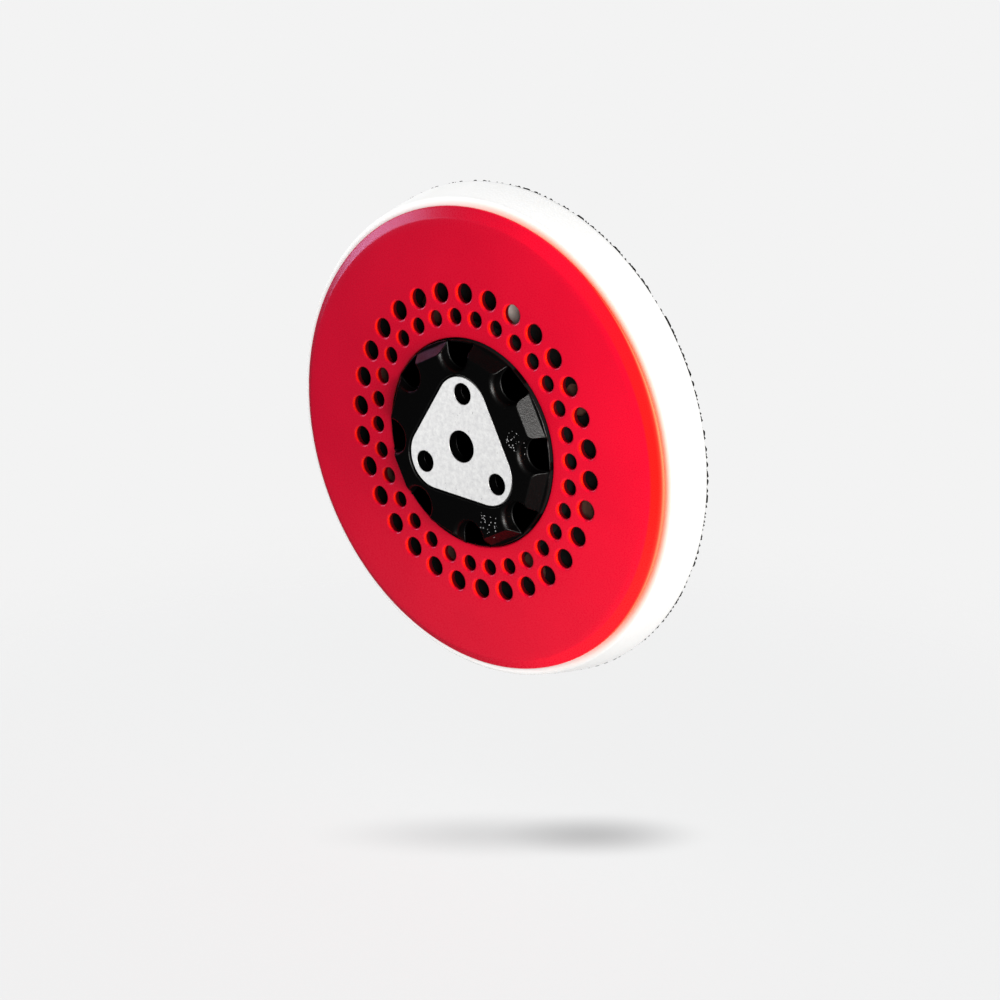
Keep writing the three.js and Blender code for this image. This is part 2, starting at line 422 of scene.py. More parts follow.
def from_axis(add, place):
    """Distance from the spin axis."""
    flat = add("VectorMath", "Vector", TIMES, input0=place, input1=(1, 0, 1))
    return add("VectorMath", "Value", {"operation": "LENGTH"}, input0=flat)


def near(add, place, centre, reach, fade):
    """1 within a reach of a point, falling to 0 over a fade."""
    away = add("VectorMath", "Value", {"operation": "DISTANCE"}, input0=place, input1=centre)
    return add("MapRange", "Result", SMOOTH, Value=away, From_Min=reach, From_Max=reach + fade,
               To_Min=1.0, To_Max=0.0)


# ---------------------------------------------------------------------------------------------
# Materials
# ---------------------------------------------------------------------------------------------

def moulded_red_plastic():
    """Injection-moulded ABS from a spark-eroded mould: saturated red with a fine satin grain,
    painted warm light in orange on the edges that face +X, a painted highlight at the narrow lip
    of the rim there, and painted shade down the walls of the vents."""
    material, add, shader, place = new_material("moulded_red_abs")
    cloud = add("TexNoise", "Fac", Vector=place, Scale=1 / (22 * MM), Detail=3.0)
    skin = add("ValToRGB", "Color", {"steps": [(0.35, "#E60D32"), (0.65, "#EC0F34")]}, Fac=cloud)
    # Painted warm light: faces turned towards +X, where the key and skim lights stand, are mixed
    # towards orange.
    facing = add("Attribute", "Fac", {"attribute_name": "faces_right"})
    warm_light_share = add("MapRange", "Result", SMOOTH, Value=facing, From_Min=0.2, From_Max=0.75)
    skin = add("Mix", MIXED_COLOUR, OF_COLOURS, input0=warm_light_share, input6=skin,
               input7=linear("#FF1A08"))
    # Painted highlight: the narrow lip of the rim on the side facing +X is mixed towards pale pink.
    lip = add("MapRange", "Result", SMOOTH, Value=from_axis(add, place),
              From_Min=COVER_RIM_RADIUS - LIT_LIP_WIDTH, From_Max=COVER_RIM_RADIUS)
    lit = add("MapRange", "Result", SMOOTH, Value=facing, From_Min=0.5, From_Max=0.8)
    lit_lip = add("Math", "Value", TIMES, input0=lip, input1=lit)
    skin = add("Mix", MIXED_COLOUR, OF_COLOURS, input0=lit_lip, input6=skin,
               input7=linear("#FF745C"))
    # Painted shade: the vent walls darken with depth towards the back of the cover, where light
    # does not reach.
    depth = add("Attribute", "Fac", {"attribute_name": "wall_depth"})
    shade = add("MapRange", "Result", SMOOTH, Value=depth, From_Min=0.14, From_Max=0.42)
    colour = add("Mix", MIXED_COLOUR, OF_COLOURS, input0=shade, input6=skin,
                 input7=linear("#5E0410"))
    grain = add("TexNoise", "Fac", Vector=place, Scale=1 / (0.35 * MM))
    rough = add("MapRange", "Result", Value=grain, To_Min=0.20, To_Max=0.36)
    ripple = add("TexNoise", "Fac", Vector=place, Scale=1 / (9 * MM), Detail=1.0)
    wave = add("Bump", "Normal", Strength=1.0, Height=ripple, Distance=0.02 * MM)
    relief = add("Bump", "Normal", Strength=1.0, Height=grain, Distance=0.009 * MM, Normal=wave)
    set_inputs(shader, Base_Color=colour, Roughness=rough, Normal=relief, Specular_IOR_Level=0.24)
    return material


def glass_filled_nylon():
    """Black glass-filled nylon: satin, finely pebbled where fibres reach the skin, with crumbs of
    dust in two clusters beside the plate, and dull on the flange that the cover hides."""
    material, add, shader, place = new_material("black_glass_filled_nylon")
    cells = {"Vector": place, "Scale": 1 / (0.75 * MM)}
    crumb = add("Math", "Value", LESS, input0=add("TexVoronoi", "Distance", NEAREST, **cells),
                input1=0.24)
    beside = near(add, place, on_ring(20.5 * MM, 16, HUB_LOW.y), 1.5 * MM, 5 * MM)
    below = near(add, place, on_ring(22.5 * MM, -63, HUB_LOW.y), 1.5 * MM, 5 * MM)
    crowd = add("Math", "Value", LARGER, input0=beside, input1=below)
    crowd = add("Math", "Value", PLUS, input0=crowd, input1=0.02)
    share = add("Math", "Value", TIMES, input0=crowd, input1=0.6)
    chance = add("Math", "Value", LESS, input0=add("TexVoronoi", "Color", NEAREST, **cells),
                 input1=share)
    dust = add("Math", "Value", TIMES, input0=crumb, input1=chance)
    colour = add("Mix", MIXED_COLOUR, OF_COLOURS, input0=dust, input6=linear("#030303"),
                 input7=linear("#B4B4B6"))
    pebble = add("TexNoise", "Fac", Vector=place, Scale=1 / (0.40 * MM), Detail=3.0, Roughness=0.6)
    satin = add("MapRange", "Result", Value=pebble, To_Min=0.24, To_Max=0.48)
    hidden = add("Attribute", "Fac", {"attribute_name": "under_cover"})
    rough = add("Math", "Value", LARGER, input0=satin, input1=hidden)
    relief = add("Bump", "Normal", Strength=1.0, Height=pebble, Distance=0.09 * MM)
    set_inputs(shader, Base_Color=colour, Roughness=rough, Normal=relief, Specular_IOR_Level=0.36)
    return material


def blasted_steel():
    """Bead-blasted zinc-plated steel: pale, softly mottled, with small dark marks, and painted
    black inside its punched holes as shade."""
    material, add, shader, place = new_material("bead_blasted_zinc_steel")
    cloud = add("TexNoise", "Fac", Vector=place, Scale=1 / (1.6 * MM), Detail=5.0, Roughness=0.75)
    tone = add("ValToRGB", "Color", {"steps": [(0.3, "#DCDCDD"), (0.7, "#FAFAF9")]}, Fac=cloud)
    spots = add("TexVoronoi", "Distance", NEAREST, Vector=place, Scale=1 / (1.3 * MM))
    small = add("Math", "Value", LESS, input0=spots, input1=0.09)
    worn = add("TexNoise", "Fac", Vector=place, Scale=1 / (4 * MM), Detail=1.0)
    few = add("Math", "Value", {"operation": "GREATER_THAN"}, input0=worn, input1=0.55)
    marks = add("Math", "Value", TIMES, input0=small, input1=few)
    tone = add("Mix", MIXED_COLOUR, OF_COLOURS, input0=marks, input6=tone,
               input7=linear("#8E8D8B"))
    # Painted shade: faces on the walls of the punched holes are mixed to near black.
    wall = add("Attribute", "Fac", {"attribute_name": "punched_wall"})
    colour = add("Mix", MIXED_COLOUR, OF_COLOURS, input0=wall, input6=tone,
                 input7=linear("#111111"))
    grit = add("TexNoise", "Fac", Vector=place, Scale=1 / (0.45 * MM), Detail=3.0, Roughness=0.6)
    rough = add("MapRange", "Result", Value=grit, To_Min=0.46, To_Max=0.62)
    relief = add("Bump", "Normal", Strength=1.0, Height=grit, Distance=0.03 * MM)
    set_inputs(shader, Base_Color=colour, Roughness=rough, Normal=relief, Metallic=1.0)
    return material


def shaded_washer_steel():
    """Turned steel coloured near black as painted shade deep in the bore, with fine rings from the
    lathe.
    """
    material, add, shader, place = new_material("washer_steel_dark_as_shade")
    flat = add("Mapping", "Vector", Vector=place, Scale=(1, 0, 1))
    rings = add("TexWave", "Fac", {"wave_type": "RINGS", "rings_direction": "SPHERICAL"},
                Vector=flat, Scale=1 / (2.5 * MM), Distortion=0.4, Detail=1.0)
    colour = add("ValToRGB", "Color", {"steps": [(0.0, "#232325"), (1.0, "#38383A")]}, Fac=rings)
    rough = add("MapRange", "Result", Value=rings, To_Min=0.32, To_Max=0.45)
    relief = add("Bump", "Normal", Strength=1.0, Height=rings, Distance=0.01 * MM)
    set_inputs(shader, Base_Color=colour, Roughness=rough, Normal=relief, Metallic=1.0)
    return material


def pressed_fibre():
    """Pressed black fibre board: matt, with short fibres."""
    material, add, shader, place = new_material("pressed_black_fibre")
    drawn_out = add("Mapping", "Vector", Vector=place, Scale=(1, 1, 4))
    fibre = add("TexNoise", "Fac", Vector=drawn_out, Scale=1 / (1.2 * MM), Detail=4.0,
                Roughness=0.6)
    colour = add("ValToRGB", "Color", {"steps": [(0.3, "#070707"), (0.7, "#101010")]}, Fac=fibre)
    rough = add("MapRange", "Result", Value=fibre, To_Min=0.6, To_Max=0.8)
    relief = add("Bump", "Normal", Strength=1.0, Height=fibre, Distance=0.04 * MM)
    set_inputs(shader, Base_Color=colour, Roughness=rough, Normal=relief, Specular_IOR_Level=0.2)
    return material


def moulded_foam():
    """Moulded polyurethane foam: white, soft skin with fine closed cells under it, black on the
    wall of the access hole, and painted red glow from the cover near the rim on the side towards
    +X."""
    material, add, shader, place = new_material("moulded_white_polyurethane_foam")
    cloud = add("TexNoise", "Fac", Vector=place, Scale=1 / (14 * MM), Detail=3.0)
    white = add("ValToRGB", "Color", {"steps": [(0.3, "#F6F6F4"), (0.7, "#FCFCFB")]}, Fac=cloud)
    # Painted light: the red of the cover is painted onto the foam near the rim, most on the side
    # towards the key light at +X.
    sideways = add("SeparateXYZ", "X", Vector=place)
    backwards = add("SeparateXYZ", "Y", Vector=place)
    upwards = add("SeparateXYZ", "Z", Vector=place)
    out_and_back = add("Math", "Value", PLUS, input0=from_axis(add, place), input1=backwards)
    start = COVER_RIM_RADIUS + FOAM_LOW.y
    away = add("MapRange", "Result", Value=out_and_back, From_Min=start,
               From_Max=start + GLOW_REACH)
    glow = add("ValToRGB", "Color", {"steps": [
        (0.0, "#FFA080"), (0.35, "#F8C6B6"), (0.7, "#F6E2DA"), (1.0, "#FCFCFB"),
    ]}, Fac=away)
    leaning = add("Math", "Value", TIMES, input0=upwards, input1=0.35)
    toward_key = add("Math", "Value", PLUS, input0=sideways, input1=leaning)
    share = add("MapRange", "Result", SMOOTH, Value=toward_key, From_Min=-8 * MM,
                From_Max=52 * MM)
    painted_glow_mix = add("Mix", MIXED_COLOUR, OF_COLOURS, input0=share, input6=white, input7=glow)
    # Faces on the wall of the access hole are coloured near black.
    wall = add("Attribute", "Fac", {"attribute_name": "sealed_wall"})
    colour = add("Mix", MIXED_COLOUR, OF_COLOURS, input0=wall, input6=painted_glow_mix,
                 input7=linear("#0C0C0C"))
    cells = add("TexVoronoi", "Distance", {"feature": "SMOOTH_F1"}, Vector=place,
                Scale=1 / (0.7 * MM), Smoothness=0.6)
    swell = add("TexNoise", "Fac", Vector=place, Scale=1 / (6 * MM))
    under = add("Bump", "Normal", Strength=1.0, Height=swell, Distance=0.06 * MM)
    relief = add("Bump", "Normal", Strength=1.0, Height=cells, Distance=0.03 * MM, Normal=under)
    rough = add("MapRange", "Result", Value=cloud, To_Min=0.75, To_Max=0.9)
    set_inputs(shader, Base_Color=colour, Roughness=rough, Normal=relief, Subsurface_Weight=0.15,
               Subsurface_Radius=(1.0, 0.95, 0.9), Subsurface_Scale=1.5 * MM)
    return material


def contact_adhesive():
    """Cured contact adhesive: a very fine glossy skin, amber brown and darkened further as painted
    shade, with a pale painted pool of light where light comes through the air opening at 74
    degrees."""
    material, add, shader, place = new_material("cured_contact_adhesive")
    streak = add("TexNoise", "Fac", Vector=place, Scale=1 / (2.5 * MM), Detail=4.0, Roughness=0.6)
    shaded_brown = add("ValToRGB", "Color", {"steps": [(0.3, "#50352B"), (0.7, "#705044")]}, Fac=streak)
    lit_pale = add("ValToRGB", "Color", {"steps": [(0.3, "#D2C2B8"), (0.7, "#EADFD8")]}, Fac=streak)
    # Painted light and shade: pale where light comes in through the air opening at 74 degrees,
    # amber brown darkened as shade everywhere else.
    painted_light_patch = near(add, place, on_ring(38 * MM, 74, FOAM_FILM_LOW.y), 4 * MM, 5 * MM)
    colour = add("Mix", MIXED_COLOUR, OF_COLOURS, input0=painted_light_patch, input6=shaded_brown, input7=lit_pale)
    rough = add("MapRange", "Result", Value=streak, To_Min=0.3, To_Max=0.5)
    relief = add("Bump", "Normal", Strength=1.0, Height=streak, Distance=0.05 * MM)
    set_inputs(shader, Base_Color=colour, Roughness=rough, Normal=relief)
    return material


def woven_nylon_tape():
    """Woven black nylon ground of hook tape: crossing threads 0.7 mm apart, a little coarser than
    real ones so that they show."""
    material, add, shader, place = new_material("woven_black_nylon_tape")
    across, along = [
        add("TexWave", "Fac", {"wave_type": "BANDS", "bands_direction": direction}, Vector=place,
            Scale=1 / (0.7 * MM) / 20 * math.pi, Distortion=0.6, Detail=1.0)
        for direction in ("X", "Z")
    ]
    weave = add("Math", "Value", TIMES, input0=across, input1=along)
    colour = add("ValToRGB", "Color", {"steps": [(0.0, "#050505"), (0.8, "#1B1B1C")]}, Fac=weave)
    rough = add("MapRange", "Result", Value=weave, To_Min=0.55, To_Max=0.75)
    relief = add("Bump", "Normal", Strength=1.0, Height=weave, Distance=0.15 * MM)
    set_inputs(shader, Base_Color=colour, Roughness=rough, Normal=relief)
    return material


def nylon_monofilament():
    """Black nylon monofilament, heat-set into hooks: smooth, with a soft shine."""
    material, add, shader, place = new_material("black_nylon_monofilament")
    strand = add("TexNoise", "Fac", Vector=place, Scale=1 / (1.1 * MM), Detail=1.0)
    colour = add("ValToRGB", "Color", {"steps": [(0.35, "#0B0B0C"), (0.65, "#1C1C1E")]}, Fac=strand)
    rough = add("MapRange", "Result", Value=strand, To_Min=0.3, To_Max=0.5)
    set_inputs(shader, Base_Color=colour, Roughness=rough)
    return material


# ---------------------------------------------------------------------------------------------
# Pieces
# ---------------------------------------------------------------------------------------------

def crown(radius):
    """y of the cover's crowned front, from its bore to its crest."""
    share = (radius - COVER_BORE) / (COVER_CREST - COVER_BORE)
    middle = COVER_BORE_FRONT + COVER_CROWN_LIFT
    return (
        (1 - share) ** 2 * COVER_BORE_FRONT
        + 2 * share * (1 - share) * middle
        + share ** 2 * COVER_CREST_FRONT
    )


def patch_loop(vents, y):
    """Four-sided loop round one vent, bent to the cover's ring, from one corner round to it."""
    middle = (vents["from"] + vents["to"]) / 2
    half_width = (vents["to"] - vents["from"]) / 2
    half_pitch = 180 / VENTS_PER_RING
    points = []
    for side in range(4):
        for step in range(VENT_PATCH_STEPS):
            along = 2 * step / VENT_PATCH_STEPS - 1
            across, round_ring = ((1, along), (-along, 1), (-1, -along), (along, -1))[side]
            angle = vents["angle"] + round_ring * half_pitch
            points.append(on_ring(middle + across * half_width, angle, y))
    return points


def vent_loop(vents, radius, y):
    """Circle round one vent, with its points facing those of the four-sided loop."""
    centre = on_ring(vents["radius"], vents["angle"], y)
    count = 4 * VENT_PATCH_STEPS
    return [
        centre + on_ring(radius, vents["angle"] - 45 + 360 * step / count) for step in range(count)
    ]


def between(first, second, share):
    return [start.lerp(end, share) for start, end in zip(first, second)]


def vent_sector(bm, vents):
    """The cover's front and back skin round one vent, and the vent's rounded wall."""
    mouth = vents["hole"] + VENT_EDGE_ROUND
    front_rim = patch_loop(vents, 0.0)
    back_rim = patch_loop(vents, COVER_WALL)
    front = vent_loop(vents, mouth, 0.0)
    back = vent_loop(vents, vents["hole"] + VENT_BACK_FLARE, COVER_WALL)
    loops = [front_rim, between(front_rim, front, 0.4), between(front_rim, front, 0.75)]
    for step in range(7):
        turn = math.radians(90 * step / 6)
        radius = mouth - VENT_EDGE_ROUND * math.sin(turn)
        loops.append(vent_loop(vents, radius, VENT_EDGE_ROUND * (1 - math.cos(turn))))
    loops.append(vent_loop(vents, vents["hole"], COVER_WALL - VENT_BACK_FLARE))
    loops += [back, between(back, back_rim, 0.5), back_rim]
    loft(bm, loops)


def vented_cover(material):
    bm = bmesh.new()
    for vents in (INNER_VENTS, OUTER_VENTS):
        vent_sector(bm, vents)
    bmesh.ops.spin(
        bm, geom=bm.verts[:] + bm.edges[:] + bm.faces[:], cent=(0, 0, 0), axis=SPIN_AXIS,
        angle=2 * math.pi, steps=VENTS_PER_RING, use_duplicate=True,
    )
    edge = COVER_EDGE_ROUND
    start = INNER_VENTS["angle"]
    inner = INNER_VENTS["from"]
    outer = OUTER_VENTS["to"]
    bore = (
        [(inner, 0.0), (COVER_BORE_LAND, 0.0)]
        + arc((COVER_BORE + edge, edge), edge, 270, 180, 5)
        + [(COVER_BORE, COVER_WALL), (inner, COVER_WALL)]
    )
    spin_profile(bm, bore, start=start, closed=False)
    run = COVER_CREST - outer
    out_to_crest = [(outer + run * step / 8, 0.0) for step in range(9)]
    back_from_crest = [(radius, COVER_WALL) for radius, _ in reversed(out_to_crest)]
    spin_profile(bm, out_to_crest, start=start, closed=False)
    spin_profile(bm, back_from_crest, start=start, closed=False)
    # How far back each point lies in the wall, from 0 at the front to 1 at the back; the red
    # material paints shade by it.
    depth = bm.verts.layers.float.new("wall_depth")
    for vert in bm.verts:
        vert[depth] = vert.co.y / COVER_WALL
        vert.co.y += crown(math.hypot(vert.co.x, vert.co.z))
    crest = (COVER_CREST, crown(COVER_CREST))
    back_crest = (COVER_CREST, crown(COVER_CREST) + COVER_WALL)
    rim = [
        crest,
        (COVER_CREST + 0.35 * MM, crest[1] + 0.10 * MM),
        (COVER_CREST + 0.65 * MM, crest[1] + 0.30 * MM),
        (COVER_RIM_RADIUS - 0.55 * MM, COVER_FOOT - 0.85 * MM),
        (COVER_RIM_RADIUS - 0.20 * MM, COVER_FOOT - 0.60 * MM),
        (COVER_RIM_RADIUS, COVER_FOOT - 0.30 * MM),
        (COVER_RIM_RADIUS, COVER_FOOT),
        (COVER_CREST + 0.4 * MM, COVER_FOOT),
        back_crest,
    ]
    spin_profile(bm, rim, start=start, closed=False)
    close_up(bm, 2e-6)
    bm.normal_update()
    # How far each point faces +X; the red material paints warm light and a highlight on the points
    # that face this way.
    faces_right = [vert.normal.x for vert in bm.verts]
    cover = piece_from(bm, "cover_shell", material)
    mark(cover, "faces_right", faces_right, "POINT")
    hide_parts("vented_cover")
    return cover


def hub(material):
    """Boss, collar and flange, with its pockets, plate seat, bolt bore, pin wells and recess."""
    base = bmesh.new()
    spin_profile(base, [
        (HUB_CORE, COLLAR_FRONT), (COLLAR_RADIUS, COLLAR_FRONT), (COLLAR_RADIUS, FLANGE_FRONT),
        (HUB_HIGH.x, FLANGE_FRONT), (HUB_HIGH.x, HUB_HIGH.y), (HUB_CORE, HUB_HIGH.y),
    ], steps=PLAIN_STEPS)
    close_up(base)
    corner = 1 / math.cos(math.pi / HUB_SIDES)
    boss = bmesh.new()
    height = COVER_BORE_FRONT - HUB_LOW.y
    bmesh.ops.create_cone(
        boss, cap_ends=True, segments=HUB_SIDES, radius1=BOSS_FRONT_FLAT * corner,
        radius2=BOSS_BACK_FLAT * corner, depth=height,
    )
    stand = Matrix.Rotation(math.radians(-90), 4, "X")
    bmesh.ops.transform(boss, matrix=stand, verts=boss.verts)
    apart = 360 / HUB_SIDES
    first = min(math.degrees(math.atan2(vert.co.z, vert.co.x)) % apart for vert in boss.verts)
    turn = Matrix.Rotation(-math.radians(POCKET_ANGLE - first), 4, "Y")
    place = Matrix.Translation((0, HUB_LOW.y + height / 2, 0))
    bmesh.ops.transform(boss, matrix=place @ turn, verts=boss.verts)
    front, back = HUB_LOW.y - PAST, HUB_HIGH.y + PAST
    trim = rod(COLLAR_RADIUS, front, BOSS_TRIM_BACK, steps=PLAIN_STEPS)
    boss = combine(boss, [trim], "INTERSECT")
    body = combine(base, [boss], "UNION")
    cutters = []
    for pocket in range(HUB_SIDES):
        angle = POCKET_ANGLE + pocket * apart
        cutters.append(pocket_cutter(angle, front))
        well = prism(pocket_outline(angle, POCKET_RADIUS - POCKET_LEDGE), front, POCKET_FLOOR)
        inside = rod(COLLAR_RADIUS - COLLAR_WALL, front, POCKET_FLOOR + PAST, steps=PLAIN_STEPS)
        cutters.append(combine(well, [inside], "INTERSECT"))
    cutters.append(prism(triangle_outline(SEAT_GAP), front, SEAT_FLOOR))
    cutters.append(rod(BOLT_HOLE + FIT_GAP, front, back))
    cutters.append(rod(ACCESS_RADIUS, WASHER_RECESS_FLOOR, back, steps=HOLE_STEPS))
    for centre in pin_centres():
        cutters.append(rod(PIN_HOLE + FIT_GAP, front, PIN_WELL_FLOOR, centre))
    body = combine(body, cutters, "DIFFERENCE")
    round_edges(body, HUB_EDGE_ROUND)
    hidden = [
        float(all(math.hypot(vert.co.x, vert.co.z) > COLLAR_RADIUS for vert in face.verts))
        for face in body.faces
    ]
    piece = piece_from(body, "hub_body", material, smooth_below=40)
    mark(piece, "under_cover", hidden)
    even_shading(piece)
    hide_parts("hub")
    return piece


def drive_plate(material):
    plate = prism(triangle_outline(), PLATE_LOW.y, PLATE_HIGH.y)
    front, back = PLATE_LOW.y - PAST, PLATE_HIGH.y + PAST
    holes = [rod(BOLT_HOLE, front, back, steps=HOLE_STEPS)]
    for centre in pin_centres():
        holes.append(rod(PIN_HOLE, front, back, centre))
    plate = combine(plate, holes, "DIFFERENCE")
    round_edges(plate, 0.22 * MM, sharper_than=50)
    bores = [(Vector((0, 0, 0)), BOLT_HOLE)] + [(centre, PIN_HOLE) for centre in pin_centres()]
    # Faces on the walls of the holes, which the steel material paints black as shade.
    walls = [max(lies_in_bore(face, *bore) for bore in bores) for face in plate.faces]
    piece = piece_from(plate, "drive_plate_insert", material, smooth_below=40)
    mark(piece, "punched_wall", walls)
    even_shading(piece)
    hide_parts("drive_plate")
    return piece


def air_disc(material):
    bm = bmesh.new()
    inner, outer = ACCESS_RADIUS, DISC_HIGH.x
    spin_profile(bm, [
        (inner, DISC_LOW.y), (outer, DISC_LOW.y), (outer, DISC_HIGH.y), (inner, DISC_HIGH.y),
    ], steps=PLAIN_STEPS)
    close_up(bm)
    front, back = DISC_LOW.y - PAST, DISC_HIGH.y + PAST
    openings = []
    for opening in range(HUB_SIDES):
        centre = on_ring(AIR_OPENING_RING, FACET_ANGLE + opening * 360 / HUB_SIDES)
        openings.append(rod(AIR_OPENING_RADIUS, front, back, centre, AIR_OPENING_STEPS))
    disc = combine(bm, openings, "DIFFERENCE")
    round_edges(disc, 0.15 * MM, sharper_than=50, segments=2)
    piece = piece_from(disc, "air_disc_plate", material)
    even_shading(piece)
    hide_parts("air_disc")
    return piece


def foam_pad(material):
    """Foam ring with a soft shoulder at the cover's rim, a slightly full side and a crisp edge
    at the back."""
    front, back = FOAM_LOW.y, FOAM_HIGH.y
    core_front = FOAM_FILM_HIGH.y + FIT_GAP
    shoulder, edge = FOAM_SHOULDER_ROUND, FOAM_BACK_ROUND
    side_start = (FOAM_SHOULDER, front + shoulder)
    side_end = (FOAM_HIGH.x, back - edge)
    side = []
    for step in range(1, 12):
        share = step / 12
        bulge = FOAM_BULGE * math.sin(math.pi * share)
        side.append((
            side_start[0] + (side_end[0] - side_start[0]) * share + bulge,
            side_start[1] + (side_end[1] - side_start[1]) * share,
        ))
    outline = (
        [(ACCESS_RADIUS, core_front), (FOAM_SEAM, core_front), (FOAM_CUP_RADIUS, core_front),
         (FOAM_CUP_RADIUS, front)]
        + arc((side_start[0] - shoulder, side_start[1]), shoulder, -90, 0, 8)
        + side
        + arc((FOAM_HIGH.x - edge, back - edge), edge, 0, 90, 4)
        + [(FOAM_SEAM, back), (ACCESS_RADIUS, back)]
    )
    bm = bmesh.new()
    spin_profile(bm, outline)
    close_up(bm)
    # Faces on the wall of the access hole, which the foam material colours black.
    walls = [lies_in_bore(face, Vector((0, 0, 0)), ACCESS_RADIUS) for face in bm.faces]
    piece = piece_from(bm, "foam_body", material, smooth_below=50)
    mark(piece, "sealed_wall", walls)
    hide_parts("foam_pad")
    return piece


def one_hook(bm, height):
    """A single bent strand with three sides: up, over and down again to its tip."""
    path = [
        (0.0, 0.0), (0.0, 0.45), (0.03, 0.78), (0.18, 0.97), (0.36, 0.93), (0.44, 0.72),
        (0.42, 0.60),
    ]
    rings = []
    for number, (along, up) in enumerate(path):
        ahead = path[min(number + 1, len(path) - 1)]
        behind = path[max(number - 1, 0)]
        slope = math.atan2(ahead[0] - behind[0], ahead[1] - behind[1])
        made = bmesh.ops.create_circle(bm, segments=3, radius=HOOK_WIRE, cap_ends=False)
        lay = Matrix.Rotation(math.radians(-90), 4, "X")
        lean = Matrix.Rotation(-slope, 4, "Z")
        move = Matrix.Translation((along * height, up * height, 0))
        bmesh.ops.transform(bm, matrix=move @ lean @ lay, verts=made["verts"])
        rings.append(made["verts"])
    for lower, upper in zip(rings, rings[1:]):
        for side in range(3):
            after = (side + 1) % 3
            bm.faces.new((lower[side], lower[after], upper[after], upper[side]))
    bm.faces.new(rings[-1])
    bm.faces.new(list(reversed(rings[0])))
    bmesh.ops.recalc_face_normals(bm, faces=bm.faces)


def hook_rows(name, material, low_z, high_z):
    """Rows of hooks between two heights, each turned and leaning a little differently."""
    height = HOOK_HIGH.y - TAPE_BACK
    bm = bmesh.new()
    one_hook(bm, height)
    corners = len(bm.verts)
    seed = object_from(bm, "scratch_hook")
    count = int(2 * HOOK_HIGH.x / HOOK_PITCH) + 1
    rows = int((high_z - low_z) / HOOK_PITCH)
    for way, times, step in (
        ("along", count, (HOOK_PITCH, 0, 0)), ("up", rows, (0, 0, HOOK_PITCH)),
    ):
        repeat = seed.modifiers.new(f"repeat_{way}", "ARRAY")
        repeat.count = times
        repeat.use_relative_offset = False
        repeat.use_constant_offset = True
        repeat.constant_offset_displace = step
    graph = bpy.context.evaluated_depsgraph_get()
    mesh = bpy.data.meshes.new_from_object(seed.evaluated_get(graph))
    bpy.data.objects.remove(seed)
    points = np.empty(len(mesh.vertices) * 3)
    mesh.vertices.foreach_get("co", points)
    points = points.reshape(-1, corners, 3)
    draw = np.random.default_rng(11)
    number = np.arange(len(points))
    column, row = number % count, number // count
    foot = np.stack([
        (column - (count - 1) / 2 + 0.5 * (row % 2)) * HOOK_PITCH,
        np.full(len(points), TAPE_BACK - 0.1 * MM),
        low_z + (row + 0.5) * HOOK_PITCH,
    ], axis=1)
    local = points.copy()
    local[:, :, 0] -= (column * HOOK_PITCH)[:, None]
    local[:, :, 2] -= (row * HOOK_PITCH)[:, None]
    turn = np.where(column % 2 == 0, 0.0, math.pi) + draw.normal(0, 0.35, len(points))
    grow = 1 - np.abs(draw.normal(0, 0.06, len(points)))
    sway = draw.normal(0, 0.12, len(points))
    x, y, z = local[:, :, 0], local[:, :, 1] * grow[:, None], local[:, :, 2]
    x = x + sway[:, None] * y
    jitter = draw.normal(0, 0.09 * MM, (len(points), 2))
    points[:, :, 0] = x * np.cos(turn)[:, None] - z * np.sin(turn)[:, None] + foot[:, None, 0]
    points[:, :, 1] = y + foot[:, None, 1]
    points[:, :, 2] = x * np.sin(turn)[:, None] + z * np.cos(turn)[:, None] + foot[:, None, 2]
    points[:, :, 0] += jitter[:, None, 0]
    points[:, :, 2] += jitter[:, None, 1]
    mesh.vertices.foreach_set("co", points.ravel())
    reach = np.hypot(points[:, :, 0], points[:, :, 2])
    within = reach.max(axis=1) < TAPE_RADIUS - HOOK_MARGIN
    stays = within & (reach.min(axis=1) > ACCESS_RADIUS + 0.2 * MM)
    bm = bmesh.new()
    bm.from_mesh(mesh)
    bpy.data.meshes.remove(mesh)
    bm.verts.ensure_lookup_table()
    gone = [vert for vert in bm.verts if not stays[vert.index // corners]]
    bmesh.ops.delete(bm, geom=gone, context="VERTS")
    piece = piece_from(bm, name, material, smooth_below=80)
    return piece


def hook_tape(material):
    """Ground of the hook tape, with a ragged cut edge, laid on a touch low and off to one side."""
    draw = random.Random(5)
    outer, inner = [], []
    fine = broad = 0.0
    for step in range(TAPE_STEPS):
        fine = 0.25 * fine + 0.75 * draw.uniform(-1, 1)
        broad = 0.9 * broad + 0.45 * draw.uniform(-1, 1)
        angle = 360 * step / TAPE_STEPS
        rag = TAPE_RAG * max(-1.6, min(0.6, 1.5 * fine + 0.12 * broad))
        outer.append(TAPE_OFF_CENTRE + on_ring(TAPE_RADIUS + rag, angle))
        inner.append(on_ring(ACCESS_RADIUS + 0.1 * MM, angle))
    bm = bmesh.new()
    loft(bm, [
        at_depth(inner, TAPE_FRONT), at_depth(outer, TAPE_FRONT), at_depth(outer, TAPE_BACK),
        at_depth(inner, TAPE_BACK), at_depth(inner, TAPE_FRONT),
    ])
    close_up(bm)
    piece = piece_from(bm, "hook_tape_ground", material)
    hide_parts("hook_sheet")
    return piece


def plain_ring(name, node, low, high, inner, edge, material):
    piece = ring_piece(name, inner, high.x, low.y, high.y, edge, material)
    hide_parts(node)
    return piece


def hook_glue(material):
    """Skin of glue that stops short of the foam's edge."""
    front, back = FOAM_HIGH.y + 0.02 * MM, FOAM_HIGH.y + 0.12 * MM
    piece = ring_piece("hook_glue_film", ACCESS_RADIUS, HOOK_FILM_HIGH.x - 1.2 * MM, front, back,
                       0.03 * MM, material)
    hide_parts("hook_bonding_film")
    return piece


